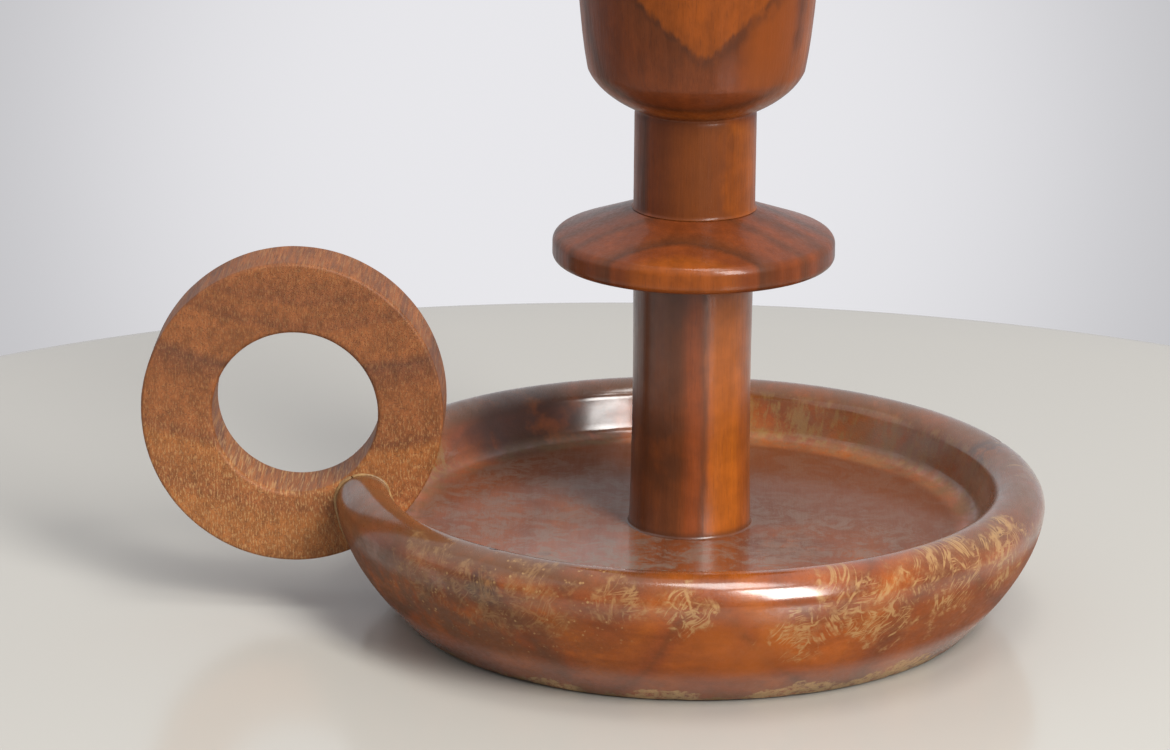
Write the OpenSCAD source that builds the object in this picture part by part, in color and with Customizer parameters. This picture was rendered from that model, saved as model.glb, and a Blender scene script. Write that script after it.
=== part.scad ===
// Turned wooden chamberstick: a saucer with a ring handle let into its rim, and a
// column that carries a drip disc and a candle cup.
// The origin is on the column's axis, in the plane that the felt stands on. +Z is up
// and the ring handle is towards -X.

/* [Saucer] */
// Widest radius of the saucer
saucer_r = 65; // [62:0.5:72]
// Radius of the foot, where the outer wall meets the table
foot_r = 52.6; // [50:0.2:54]
// Height of the widest part of the outer wall
belly_z = 22.8; // [21.5:0.1:23.5]
// Height of the rim's crest
crest_z = 26.2; // [25:0.1:28]
// Radius of the rim's crest
crest_r = 60.3; // [59.5:0.1:61]
// Height of the inner lip, where the rim's top rolls over
lip_z = 23.3; // [22.5:0.1:23.8]
// Radius of the inner lip
lip_r = 55.6; // [55:0.1:56.5]
// Height of the saucer's floor
floor_z = 16.3; // [15:0.1:17]
// Radius of the floor, where the inner wall's cove begins
floor_r = 50; // [47:0.5:52]
// Height of the wood above the table, where only the felt touches
foot_gap = 0.4; // [0.3:0.1:0.8]
// Depth of the hollow in the inner wall under the lip
lip_hollow = 0.4; // [0.2:0.1:0.8]

/* [Ring handle] */
// Outer radius of the ring
ring_r = 27.9; // [26:0.1:29]
// Radius of the finger hole
finger_r = 15.1; // [13:0.1:16]
// Thickness of the ring
ring_t = 13.2; // [11:0.2:14]
// Distance from the column's axis to the ring's centre
ring_x = 72.6; // [71:0.1:74]
// Height of the ring's centre
ring_z = 37.7; // [36.5:0.1:39]
// Rounding of the ring's outer edges
ring_edge = 0.9; // [0.6:0.1:2]
// Rounding of the finger hole's edges
finger_edge = 1.4; // [0.8:0.1:2.5]
// Radius of the hidden dowels under the ring
dowel_r = 1.5; // [1:0.1:2]
// Length of the hidden dowels
dowel_l = 12; // [8:1:14]
// Distance between the two dowels' axes
dowel_gap = 6; // [5:0.5:7]

/* [Column] */
// Radius of the column at its foot
column_foot_r = 11.25; // [10.5:0.05:13]
// Radius of the column's waist
column_waist_r = 10.75; // [10:0.05:12]
// Radius of the column under the drip disc
column_top_r = 10.9; // [10:0.05:12]
// Height of the column's waist
waist_z = 48; // [40:1:56]
// Radius of the tenon in the saucer
foot_tenon_r = 8; // [6:0.5:9]
// Length of the tenon in the saucer
foot_tenon_l = 8; // [5:0.5:9]
// Radius of the tenon that carries the disc and the cup
top_tenon_r = 6.5; // [5:0.5:7.5]
// Length of the tenon inside the neck
top_tenon_l = 9; // [6:0.5:12]

/* [Drip disc] */
// Radius of the disc
disc_r = 25.6; // [22:0.1:28]
// Height of the disc's flat underside
disc_z = 66.2; // [64:0.1:70]
// Height of the disc's edge
disc_edge_h = 5.1; // [4:0.1:7]
// Rise of the disc's top from its edge to the neck
disc_rise = 4.8; // [1:0.1:6]
// Rounding of the disc's edge
disc_round = 1.6; // [0.6:0.1:2]

/* [Cup] */
// Radius of the neck
neck_r = 11; // [10.4:0.1:12]
// Height of the neck above the disc's edge
neck_h = 23.1; // [18:0.1:26]
// Radius of the cup where its flare ends and its wall begins
cup_shoulder_r = 19.5; // [18.5:0.1:20.5]
// Height of the flare
flare_h = 7.2; // [6.5:0.1:9]
// Widest radius of the cup
cup_r = 22; // [21.5:0.1:23]
// Height of the cup from the neck to its top
cup_h = 39.7; // [37:0.1:48]
// Rounding of the cup's lip
cup_round = 2.2; // [1:0.1:2.5]

/* [Candle liner] */
// Radius of the candle bore
candle_r = 11.2; // [10.5:0.1:11.8]
// Depth of the candle bore
candle_depth = 24; // [18:0.5:25]
// Wall of the brass tube
liner_wall = 0.8; // [0.6:0.1:1]
// Radius of the brass flange
flange_r = 17.5; // [15:0.1:18.5]
// Thickness of the brass flange
flange_t = 1.1; // [0.8:0.1:1.5]
// Gap around the tube, so that it lifts out
liner_gap = 0.3; // [0.3:0.05:0.5]

/* [Base] */
// Radius of the felt disc
felt_r = 47; // [40:1:49]
// Thickness of the felt
felt_t = 2; // [1.5:0.1:2.5]
// Radius of the base screw's head
screw_head_r = 4.2; // [3.8:0.1:5]
// Radius of the base screw's shank
screw_r = 1.9; // [1.5:0.1:2.3]
// Length of the base screw
screw_l = 28; // [24:1:34]

/* [Hidden] */
$fn = 96;

steps = 14;
cut = 0.5;
wall_aim = 0.55;
teak = [0.55, 0.29, 0.15];
teak_dark = [0.44, 0.22, 0.12];
teak_pale = [0.60, 0.38, 0.20];
brass = [0.80, 0.62, 0.28];
steel = [0.62, 0.63, 0.65];
baize = [0.13, 0.30, 0.20];

disc_edge_z = disc_z + disc_edge_h;
disc_neck_z = disc_edge_z + disc_rise;
disc_slope = atan(disc_rise / (disc_r - disc_round - neck_r));
neck_top_z = disc_edge_z + neck_h;
shoulder_z = neck_top_z + flare_h;
flare_aim_r = 6.6;
flare_aim_z = 3;
cup_top_z = neck_top_z + cup_h;
liner_r = candle_r + liner_wall;
liner_bore_r = liner_r + liner_gap;
liner_floor_z = cup_top_z + flange_t - candle_depth;
liner_bottom_z = liner_floor_z - liner_wall;
screw_head_h = 2.2;
screw_slot_w = 1.1;
screw_slot_h = 1;

// The dowels lie along the line from the middle of the ring's seat to the ring's centre
seat_x = 58.8;
seat_tilt = asin((ring_x - seat_x) / ring_r);

// Points along an ellipse's arc, from angle a0 to a1
function bend(cx, cz, rx, rz, a0, a1) =
    [for (i = [0:steps]) let (a = a0 + (a1 - a0) * i / steps) [cx + rx * cos(a), cz + rz * sin(a)]];

// Points along a smooth bow from p to r that leaves p and reaches r pointing at q
function bow(p, q, r) =
    [for (i = [0:steps]) let (t = i / steps) (1 - t) * (1 - t) * p + 2 * t * (1 - t) * q + t * t * r];

// Turned dish with a rolled rim and an inner wall that sweeps into the floor in a cove
module saucer_blank() {
    rotate_extrude()
        polygon(concat(
            [[0, foot_gap]],
            bow([foot_r, foot_gap], [saucer_r, wall_aim * belly_z], [saucer_r, belly_z]),
            bend(crest_r, belly_z, saucer_r - crest_r, crest_z - belly_z, 8, 90),
            bend(crest_r, lip_z, crest_r - lip_r, crest_z - lip_z, 98, 180),
            bow([lip_r, lip_z - cut], [lip_r + lip_hollow, floor_z + cut], [floor_r, floor_z]),
            [[0, floor_z]]));
}

// Seat for the ring: a slot through the rim whose bottom is as round as the ring
module ring_seat() {
    translate([-ring_x, 0, ring_z])
        rotate([90, 0, 0])
            cylinder(r = ring_r, h = ring_t, center = true);
}

// The pair of dowels' places, half in the saucer and half in the ring
module at_dowels() {
    for (y = [-0.5, 0.5] * dowel_gap)
        translate([-ring_x, y, ring_z])
            rotate([0, 180 - seat_tilt, 0])
                translate([0, 0, ring_r - dowel_l / 2])
                    children();
}

// Countersunk screw, head down, and the hole that it fills
module screw_solid() {
    translate([0, 0, felt_t])
        cylinder(r1 = screw_head_r, r2 = screw_r, h = screw_head_h);
    translate([0, 0, felt_t + screw_head_h])
        cylinder(r = screw_r, h = screw_l - screw_head_h);
}

module saucer() {
    color(teak)
        difference() {
            saucer_blank();
            ring_seat();
            at_dowels() cylinder(r = dowel_r, h = dowel_l);
            translate([0, 0, floor_z - foot_tenon_l])
                cylinder(r = foot_tenon_r, h = foot_tenon_l + cut);
            translate([0, 0, foot_gap - cut])
                cylinder(r = felt_r, h = felt_t - foot_gap + cut);
            screw_solid();
        }
}

// Flat ring with rounded edges and a round finger hole
module ring_handle() {
    outer_r = ring_r - ring_edge;
    outer_y = ring_t / 2 - ring_edge;
    inner_r = finger_r + finger_edge;
    inner_y = ring_t / 2 - finger_edge;
    color(teak_pale)
        difference() {
            translate([-ring_x, 0, ring_z])
                rotate([90, 0, 0])
                    rotate_extrude()
                        polygon(concat(
                            bend(outer_r, outer_y, ring_edge, ring_edge, 0, 90),
                            bend(inner_r, inner_y, finger_edge, finger_edge, 90, 180),
                            bend(inner_r, -inner_y, finger_edge, finger_edge, 180, 270),
                            bend(outer_r, -outer_y, ring_edge, ring_edge, 270, 360)));
            at_dowels() cylinder(r = dowel_r, h = dowel_l);
        }
}

module ring_dowels() {
    color(teak_pale)
        at_dowels() cylinder(r = dowel_r, h = dowel_l);
}

// Turned shaft with a slight waist and a tenon at each end
module column() {
    color(teak)
        difference() {
            union() {
                rotate_extrude()
                    polygon(concat(
                        [[0, floor_z]],
                        bow([column_foot_r, floor_z], [column_waist_r, (floor_z + waist_z) / 2],
                            [column_waist_r, waist_z]),
                        [[column_top_r, disc_z], [0, disc_z]]));
                translate([0, 0, floor_z - foot_tenon_l])
                    cylinder(r = foot_tenon_r, h = foot_tenon_l + cut);
                translate([0, 0, disc_z - cut])
                    cylinder(r = top_tenon_r, h = disc_neck_z + top_tenon_l - disc_z + cut);
            }
            screw_solid();
        }
}

// Disc with a rounded edge and a top that rises like a low cone to the neck
module drip_disc() {
    color(teak_dark)
        difference() {
            rotate_extrude()
                polygon(concat(
                    [[0, disc_z]],
                    bend(disc_r - disc_round, disc_z + disc_round, disc_round, disc_round, 270, 360),
                    bend(disc_r - disc_round, disc_edge_z - disc_round, disc_round, disc_round,
                         0, 90 - disc_slope),
                    [[neck_r, disc_neck_z], [0, disc_neck_z]]));
            translate([0, 0, disc_z - cut])
                cylinder(r = top_tenon_r, h = disc_neck_z - disc_z + 2 * cut);
        }
}

// Candle cup on a straight neck: a quick flare, then a wall that widens slowly to a
// rounded lip
module cup() {
    color(teak)
        difference() {
            rotate_extrude()
                polygon(concat(
                    [[0, disc_neck_z], [neck_r, disc_neck_z]],
                    bow([neck_r, neck_top_z], [neck_r + flare_aim_r, neck_top_z + flare_aim_z],
                        [cup_shoulder_r, shoulder_z]),
                    bow([cup_shoulder_r, shoulder_z], [cup_r - 1, shoulder_z + flare_h],
                        [cup_r, cup_top_z - flare_h]),
                    bend(cup_r - cup_round, cup_top_z - cup_round, cup_round, cup_round, 0, 90),
                    [[0, cup_top_z]]));
            translate([0, 0, disc_neck_z - cut])
                cylinder(r = top_tenon_r, h = top_tenon_l + cut);
            translate([0, 0, liner_bottom_z - liner_gap])
                cylinder(r = liner_bore_r, h = cup_top_z - liner_bottom_z + liner_gap + cut);
        }
}

// Drawn brass tube with a floor and a flange that rests on the cup's top
module candle_liner() {
    color(brass)
        difference() {
            union() {
                translate([0, 0, liner_bottom_z])
                    cylinder(r = liner_r, h = cup_top_z + flange_t - liner_bottom_z);
                translate([0, 0, cup_top_z])
                    cylinder(r = flange_r, h = flange_t);
            }
            translate([0, 0, liner_floor_z])
                cylinder(r = candle_r, h = candle_depth + cut);
        }
}

module base_screw() {
    color(steel)
        difference() {
            screw_solid();
            translate([-screw_head_r, -screw_slot_w / 2, felt_t - cut])
                cube([2 * screw_head_r, screw_slot_w, screw_slot_h + cut]);
        }
}

module base_felt() {
    color(baize)
        cylinder(r = felt_r, h = felt_t);
}

saucer();
ring_handle();
ring_dowels();
column();
drip_disc();
cup();
candle_liner();
base_screw();
base_felt();
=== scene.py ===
"""Detailed pieces for the turned wooden chamberstick.

Everything is in the CAD frame, in metres: +Z up, and the ring handle towards -X. Outlines, marks and
textures are written in millimetres.
"""

import math
from types import SimpleNamespace

import bpy
from mathutils import Matrix, Vector, noise


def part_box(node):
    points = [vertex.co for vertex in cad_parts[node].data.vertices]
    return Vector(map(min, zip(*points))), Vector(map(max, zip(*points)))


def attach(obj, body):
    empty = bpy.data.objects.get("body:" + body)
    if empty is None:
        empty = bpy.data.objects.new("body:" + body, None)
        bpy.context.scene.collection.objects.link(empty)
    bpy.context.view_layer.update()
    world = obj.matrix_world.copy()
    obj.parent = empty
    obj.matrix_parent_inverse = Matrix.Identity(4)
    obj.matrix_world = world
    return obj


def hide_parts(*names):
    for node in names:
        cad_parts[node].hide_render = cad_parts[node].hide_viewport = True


MM = 0.001

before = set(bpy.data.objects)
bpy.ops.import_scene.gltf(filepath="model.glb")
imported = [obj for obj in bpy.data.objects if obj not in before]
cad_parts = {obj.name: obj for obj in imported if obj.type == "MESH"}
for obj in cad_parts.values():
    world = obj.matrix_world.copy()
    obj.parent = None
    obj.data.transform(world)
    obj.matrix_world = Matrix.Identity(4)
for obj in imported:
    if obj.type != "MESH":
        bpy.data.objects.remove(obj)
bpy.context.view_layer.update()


# Camera: in front of the candlestick, a little above it, with a long lens. Its angles are in radians.

CAMERA_AT = (-0.0002, -0.8756, 0.3005)
CAMERA_LENS = 153.8
CAMERA_DOWN = 0.285
CAMERA_RIGHT = -0.022
CAMERA_ROLL = 0.009


def make_camera():
    data = bpy.data.cameras.new("camera")
    data.sensor_width = 36.0
    data.lens = CAMERA_LENS
    data.clip_start = 0.05
    data.clip_end = 20.0
    camera = bpy.data.objects.new("camera", data)
    bpy.context.scene.collection.objects.link(camera)
    camera.location = CAMERA_AT
    level = math.cos(CAMERA_DOWN)
    ahead = Vector((math.sin(CAMERA_RIGHT) * level, math.cos(CAMERA_RIGHT) * level, -math.sin(CAMERA_DOWN)))
    side = Vector((math.cos(CAMERA_RIGHT), -math.sin(CAMERA_RIGHT), 0))
    top = side.cross(ahead)
    turn = Matrix((side, top, -ahead)).transposed() @ Matrix.Rotation(CAMERA_ROLL, 3, "Z")
    camera.rotation_mode = "QUATERNION"
    camera.rotation_quaternion = turn.to_quaternion()
    bpy.context.scene.camera = camera


make_camera()


# Outlines, as lists of (radius, height)


def bend(cx, cz, rx, rz, a0, a1, steps=14):
    """Points along an ellipse's arc, from angle a0 to a1 in degrees."""
    angles = [math.radians(a0 + (a1 - a0) * i / steps) for i in range(steps + 1)]
    return [(cx + rx * math.cos(a), cz + rz * math.sin(a)) for a in angles]


def bow(p, q, r, steps=14):
    """Points along a smooth bow from p to r that leaves p and reaches r pointing at q."""
    points = []
    for i in range(steps + 1):
        t = i / steps
        weights = ((1 - t) ** 2, 2 * t * (1 - t), t * t)
        points.append(tuple(sum(w * c[k] for w, c in zip(weights, (p, q, r))) for k in (0, 1)))
    return points


def dense(outline, step):
    """The outline with every stretch cut into pieces no longer than step."""
    points = [outline[0]]
    for a, b in zip(outline, outline[1:]):
        length = math.dist(a, b)
        if length < 1e-6:
            continue
        count = max(1, math.ceil(length / step))
        for i in range(1, count + 1):
            points.append((a[0] + (b[0] - a[0]) * i / count, a[1] + (b[1] - a[1]) * i / count))
    return points


def size_mm(node):
    """A CAD node's lowest and highest corners, in millimetres."""
    low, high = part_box(node)
    return [c / MM for c in low], [c / MM for c in high]


# Meshes

# Edges steeper than this stay crisp
SHARP_DEGREES = 35


def add_mesh(name, verts, faces, sharp=SHARP_DEGREES):
    """A smooth-shaded object from vertices in millimetres. Edges steeper than sharp degrees stay crisp."""
    mesh = bpy.data.meshes.new(name)
    mesh.from_pydata([tuple(c * MM for c in v) for v in verts], [], faces)
    mesh.validate()
    mesh.shade_smooth()
    mesh.set_sharp_from_angle(angle=math.radians(sharp))
    piece = bpy.data.objects.new(name, mesh)
    bpy.context.scene.collection.objects.link(piece)
    return piece


def lathe(name, outline, segments):
    """Turns an outline that starts and ends on the axis, or closes on itself, about Z."""
    closed = outline[0][0] > 1e-6
    rings = outline[:-1] if closed and math.dist(outline[0], outline[-1]) < 1e-6 else outline
    verts, rows = [], []
    for radius, height in rings:
        if radius < 1e-6:
            rows.append([len(verts)] * segments)
            verts.append((0, 0, height))
            continue
        rows.append(list(range(len(verts), len(verts) + segments)))
        for i in range(segments):
            a = 2 * math.pi * i / segments
            verts.append((radius * math.cos(a), radius * math.sin(a), height))
    pairs = list(zip(rows, rows[1:])) + ([(rows[-1], rows[0])] if closed else [])
    faces = []
    for low, high in pairs:
        for i in range(segments):
            j = (i + 1) % segments
            corners = [low[i], low[j], high[j], high[i]]
            corners = [c for n, c in enumerate(corners) if c not in corners[:n]]
            if len(corners) > 2:
                faces.append(corners)
    return add_mesh(name, verts, faces)


def push(piece, depth):
    """Moves each vertex along its normal by depth(point, normal), all in millimetres."""
    mesh = piece.data
    moved = []
    for v in mesh.vertices:
        point = v.co / MM
        moved.append(v.co + v.normal * depth(point, v.normal) * MM)
    for v, co in zip(mesh.vertices, moved):
        v.co = co
    mesh.update()


def wobble(point, scale, seed):
    """Smooth noise from -1 to 1, with features about scale millimetres across."""
    return noise.noise((point + Vector((seed * 37.0, seed * 11.0, seed * 5.0))) / scale)


def finish_piece(piece, material, nodes, body="stick"):
    """Gives a piece its material and its body, and hides the CAD nodes that it stands for."""
    piece.data.materials.append(material)
    if nodes:
        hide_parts(*nodes)
    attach(piece, body)


# Materials. Textures are in the object's own millimetres.


class Graph:
    """A material's nodes, made one call at a time."""

    def __init__(self, name):
        self.material = bpy.data.materials.new(name)
        self.material.use_nodes = True
        self.tree = self.material.node_tree
        self.tree.nodes.clear()
        place = self.node("ShaderNodeTexCoord").outputs["Object"]
        self.mm = self.vector("SCALE", place, scale=1 / MM)

    def put(self, socket, value):
        if isinstance(value, bpy.types.NodeSocket):
            self.tree.links.new(value, socket)
        elif socket.type == "RGBA" and len(value) == 3:
            socket.default_value = (*value, 1)
        else:
            socket.default_value = value

    def node(self, kind, **settings):
        made = self.tree.nodes.new(kind)
        for name, value in settings.items():
            setattr(made, name, value)
        return made

    def math(self, operation, a, b=0.0, c=0.0):
        made = self.node("ShaderNodeMath", operation=operation)
        for socket, value in zip(made.inputs, (a, b, c)):
            self.put(socket, value)
        return made.outputs[0]

    def vector(self, operation, a, b=(0, 0, 0), scale=1.0):
        made = self.node("ShaderNodeVectorMath", operation=operation)
        self.put(made.inputs[0], a)
        self.put(made.inputs[1], b)
        if operation == "SCALE":
            self.put(made.inputs["Scale"], scale)
        return made.outputs["Value" if operation in ("LENGTH", "DISTANCE", "DOT_PRODUCT") else "Vector"]

    def split(self, vector):
        made = self.node("ShaderNodeSeparateXYZ")
        self.put(made.inputs[0], vector)
        return made.outputs

    def join(self, x, y, z):
        made = self.node("ShaderNodeCombineXYZ")
        for socket, value in zip(made.inputs, (x, y, z)):
            self.put(socket, value)
        return made.outputs[0]

    def noise(self, vector, scale, detail=2.0, rough=0.5, warp=0.0):
        made = self.node("ShaderNodeTexNoise")
        self.put(made.inputs["Vector"], vector)
        made.inputs["Scale"].default_value = scale
        made.inputs["Detail"].default_value = detail
        made.inputs["Roughness"].default_value = rough
        made.inputs["Distortion"].default_value = warp
        return made.outputs["Fac"]

    def cells(self, vector, scale):
        """Distance to the nearest of a cloud of points, in cells."""
        made = self.node("ShaderNodeTexVoronoi")
        self.put(made.inputs["Vector"], vector)
        made.inputs["Scale"].default_value = scale
        return made.outputs["Distance"]

    def web(self, vector, scale):
        """Distance to the nearest edge of a net of cells, in cells."""
        made = self.node("ShaderNodeTexVoronoi", feature="DISTANCE_TO_EDGE")
        self.put(made.inputs["Vector"], vector)
        made.inputs["Scale"].default_value = scale
        return made.outputs["Distance"]

    def ramp(self, value, low, high, to_low=0.0, to_high=1.0, kind="SMOOTHSTEP"):
        made = self.node("ShaderNodeMapRange", interpolation_type=kind)
        for socket, number in zip(made.inputs, (value, low, high, to_low, to_high)):
            self.put(socket, number)
        return made.outputs[0]

    def colours(self, value, stops):
        """Colours from a list of (value, colour), with value in its own units."""
        low, high = stops[0][0], stops[-1][0]
        made = self.node("ShaderNodeValToRGB")
        self.put(made.inputs[0], self.ramp(value, low, high, kind="LINEAR"))
        ramp = made.color_ramp
        while len(ramp.elements) < len(stops):
            ramp.elements.new(0.5)
        for element, (place, colour) in zip(ramp.elements, stops):
            element.position = (place - low) / (high - low)
            element.color = (*colour, 1)
        return made.outputs[0]

    def sway(self, vector, scale, amount, detail=2.0):
        """Noise from -amount to amount, about."""
        return self.math("MULTIPLY_ADD", self.noise(vector, scale, detail), 2 * amount, -amount)

    def patches(self, scale, low, high, to_low=0.0, to_high=1.0, detail=4, rough=0.65):
        """Soft-edged patches: noise of that scale, from to_low where it is under low up to to_high."""
        return self.ramp(self.noise(self.mm, scale, detail, rough), low, high, to_low, to_high)

    def times(self, *values):
        product = values[0]
        for value in values[1:]:
            product = self.math("MULTIPLY", product, value)
        return product

    def plus(self, *values):
        total = values[0]
        for value in values[1:]:
            total = self.math("ADD", total, value)
        return total

    def minus(self, a, b):
        return self.math("SUBTRACT", a, b)

    def most(self, *values):
        """The largest of the values."""
        largest = values[0]
        for value in values[1:]:
            largest = self.math("MAXIMUM", largest, value)
        return largest

    def reach(self, x, y, z=0.0):
        """Length of a vector."""
        return self.vector("LENGTH", self.join(x, y, z))

    def spot(self, centre, radius, soft=0.6):
        """1 inside a ball, fading to 0 over the soft share of its radius."""
        away = self.vector("DISTANCE", self.mm, centre)
        return self.ramp(away, radius, radius * (1 - soft))

    def mix(self, factor, a, b, blend="MIX"):
        made = self.node("ShaderNodeMix", data_type="RGBA", blend_type=blend)
        self.put(made.inputs[0], factor)
        self.put(made.inputs[6], a)
        self.put(made.inputs[7], b)
        return made.outputs[2]

    def bump(self, height, depth):
        """Height from 0 to 1 stands for depth millimetres."""
        made = self.node("ShaderNodeBump")
        made.inputs["Strength"].default_value = 1.0
        made.inputs["Distance"].default_value = depth * MM
        self.put(made.inputs["Height"], height)
        return made.outputs[0]

    def shade(self, **inputs):
        shader = self.node("ShaderNodeBsdfPrincipled")
        for name, value in inputs.items():
            self.put(shader.inputs[name.replace("_", " ")], value)
        out = self.node("ShaderNodeOutputMaterial")
        self.tree.links.new(shader.outputs[0], out.inputs[0])
        return self.material


# Teak: growth rings as (distance from the pith, colour), streaks and pores along the grain, a clear coat

ORANGE = (0.40, 0.100, 0.008)
AMBER = (0.32, 0.075, 0.008)
RED = (0.235, 0.052, 0.010)
BROWN = (0.150, 0.040, 0.010)
DUSK = (0.125, 0.036, 0.011)
VEIN = (0.070, 0.024, 0.010)
HEART = (0.265, 0.062, 0.006)
PORE = (0.060, 0.020, 0.009)

# Scales that stretch a texture along the grain
GRAIN_Y = (1.0, 0.07, 1.0)
GRAIN_Z = (1.0, 1.0, 0.07)


def grained(g, place, growth, grain, ragged=1.0):
    """Wood colour: the rings' edges are ragged, and streaks, mottles and pores run through them."""
    along = g.vector("MULTIPLY", g.mm, grain)
    place = g.plus(place, g.sway(g.mm, 0.07, 1.6 * ragged), g.sway(along, 1.4, 0.9 * ragged, 3))
    wood = g.colours(place, growth)
    streaks = g.ramp(g.noise(along, 0.55, 4, 0.65), 0.3, 0.72, 0.87, 1.10)
    mottle = g.patches(0.22, 0.3, 0.7, 0.86, 1.1, 3, 0.6)
    wood = g.mix(1.0, wood, g.times(streaks, mottle), "MULTIPLY")
    pores = g.ramp(g.noise(along, 4.2, 2, 0.6), 0.57, 0.70, 0, 0.26)
    return g.mix(pores, wood, PORE)


def varnished(g, wood, grain, coat, gloss, index=1.5, bare=None, polish=0.0):
    """Wood under a clear coat, which is gone where bare is 1 and rubbed smooth where polish is 1."""
    along = g.vector("MULTIPLY", g.mm, grain)
    rough = g.plus(g.ramp(g.noise(along, 1.2, 3), 0.3, 0.7, 0.36, 0.5), g.times(polish, -0.16))
    coat = g.patches(0.35, 0.25, 0.6, 0.8 * coat, coat, 3, 0.5)
    if bare is not None:
        rough = g.plus(rough, g.times(bare, 0.28))
        coat = g.times(coat, g.minus(1.0, bare))
    return g.shade(
        Base_Color=wood,
        Roughness=rough,
        Normal=g.bump(g.noise(along, 3.0, 3, 0.6), 0.05),
        Specular_IOR_Level=0.2,
        Coat_Weight=coat,
        Coat_Roughness=gloss,
        Coat_IOR=index,
    )


# Saucer

saucer_low, saucer_high = size_mm("saucer")
felt_low, felt_high = size_mm("base_felt")
ring_low, ring_high = size_mm("ring_handle")
SAUCER_R = saucer_high[0]
CREST_Z = saucer_high[2]
FOOT_Z = saucer_low[2]
RING_R = (ring_high[0] - ring_low[0]) / 2
RING_X = (ring_high[0] + ring_low[0]) / 2
RING_Z = (ring_high[2] + ring_low[2]) / 2
RING_HALF = ring_high[1]

# Radii and heights of the outline inside the saucer's box: foot, widest part, crest, inner lip and floor
FOOT_R = 52.6
BELLY_Z = 21.2
CREST_R = 59.9
LIP_R = 55.6
LIP_Z = 23.3
FLOOR_Z = 16.3
FLOOR_R = 50.0


def saucer_outline():
    """From the felt's recess round the wall and the rim to the middle of the floor."""
    outer_roll = bend(CREST_R, BELLY_Z, SAUCER_R - CREST_R, CREST_Z - BELLY_Z, -8, 90, 22)
    wall_aim = (SAUCER_R - 1.45, 0.52 * BELLY_Z)
    wall = bow((FOOT_R, FOOT_Z), wall_aim, outer_roll[0], 24)[:-1]
    inner_roll = bend(CREST_R, LIP_Z - 0.5, CREST_R - LIP_R + 0.2, CREST_Z - LIP_Z + 0.5, 94, 170, 18)
    cove = bow((LIP_R - 1.6, FLOOR_Z + 2.2), (LIP_R - 2.2, FLOOR_Z + 0.2), (FLOOR_R, FLOOR_Z), 16)
    recess = [(0, felt_high[2]), (felt_high[0], felt_high[2]), (felt_high[0], FOOT_Z)]
    shown = dense(wall + outer_roll + inner_roll + cove, 0.65)
    return dense(recess, 3) + shown + dense([shown[-1], (0, FLOOR_Z)], 1.4)[1:]


def cut_ring_seat(saucer):
    """Cuts the slot that the ring stands in, as round as the ring."""
    steps = 160
    verts = []
    for y in (-RING_HALF, RING_HALF):
        for i in range(steps):
            a = 2 * math.pi * i / steps
            verts.append((RING_X + RING_R * math.cos(a), y, RING_Z + RING_R * math.sin(a)))
    faces = [[i, (i + 1) % steps, (i + 1) % steps + steps, i + steps] for i in range(steps)]
    faces += [list(range(steps))[::-1], list(range(steps, 2 * steps))]
    cutter = add_mesh("seat_cutter", verts, faces)
    cut = saucer.modifiers.new("seat", "BOOLEAN")
    cut.operation = "DIFFERENCE"
    cut.solver = "EXACT"
    cut.object = cutter
    evaluated = saucer.evaluated_get(bpy.context.evaluated_depsgraph_get())
    mesh = bpy.data.meshes.new_from_object(evaluated)
    saucer.modifiers.clear()
    saucer.data = mesh
    mesh.set_sharp_from_angle(angle=math.radians(SHARP_DEGREES))
    bpy.data.objects.remove(cutter)


# Size of the arches that the growth rings draw on the saucer's front wall
ARCH_WIDTH = 43.0
ARCH_HEIGHT = 21.0

# Colours of the saucer's wear and dirt, and of its painted shade
EVEN = (0.300, 0.064, 0.008)
CRAZE = (0.44, 0.255, 0.10)
BARE = (0.62, 0.42, 0.23)
BARE_DULL = (0.24, 0.15, 0.07)
DUST = (0.17, 0.125, 0.07)
RUB = (0.27, 0.16, 0.05)
MURK = (0.105, 0.052, 0.026)
# Colour of dark stains, also used for painted shade
STAIN_AND_SHADE = (0.042, 0.020, 0.015)
FILM = (0.195, 0.122, 0.086)
GREY_BROWN = (0.150, 0.092, 0.056)
# Painted shade on the crest
PAINTED_CREST_SHADE = (0.125, 0.050, 0.017)

# Marks on the saucer, as (centre, reach)
CRAZED = [((27, -56, 21), 12), ((45, -43, 23), 16), ((21, -60, 14), 9), ((57, -30, 22), 14)]
CRAZED += [((0, -65, 21), 9), ((34, -53, 17), 14), ((18, -62, 17), 8), ((62, 6, 20), 14)]
CRAZED += [((-47, -45, 20), 13), ((-27, -59, 20), 13), ((-37, -54, 18), 13), ((-12, -64, 22), 9)]
SPECKLED = [((-30, -56, 18), 14), ((-43, -47, 17), 12), ((-16, -62, 21), 11)]
SPECKLED += [((0, -65, 23), 4), ((-52, -38, 16), 7)]
RUBBED = [((53, 14, 20), 18), ((44, 33, 20), 20), ((22, 50, 20), 22), ((-46, 22, 18), 12)]
STAINED = [((-36, -54, 21), 5), ((17, -15, 16), 11), ((55, 17, 25), 6), ((-18, 62, 12), 8)]
# Painted shade: dark patches on the inner back-left wall, where the column's reflection falls, and on the
# floor beside the column's foot
SHADED = [((-33, 44, 19), 15), ((-20, 51, 18), 9), ((15, 5, 16), 10)]
SCUFFED = [((20, -50, 1), 13), ((38, -40, 2), 16), ((-4, -54, 0), 9), ((-24, -48, -1), 8)]
SCUFFED += [((50, 20, 2), 14)]
DOTTED = [((-26, -20.5, 16.3), 1.4), ((-34, -47.5, 26), 1.2), ((31, -30, 16.3), 0.9)]

# The knock with a star-shaped crack: its direction from the axis in degrees, and its height
STAR_TURN = -90.9
STAR_Z = 21.2

# Dents, as (centre, reach, depth)
DENTS = [((58, 23, 25.4), 1.8, 0.4), ((33, -50, 25.6), 1.4, 0.12), ((-34, -47.5, 26), 1.5, 0.2)]
DENTS += [((-8, -64, 15), 1.6, 0.15), ((12, 62, 20), 2.2, 0.2), ((64, -6, 17), 1.7, 0.18)]


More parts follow.
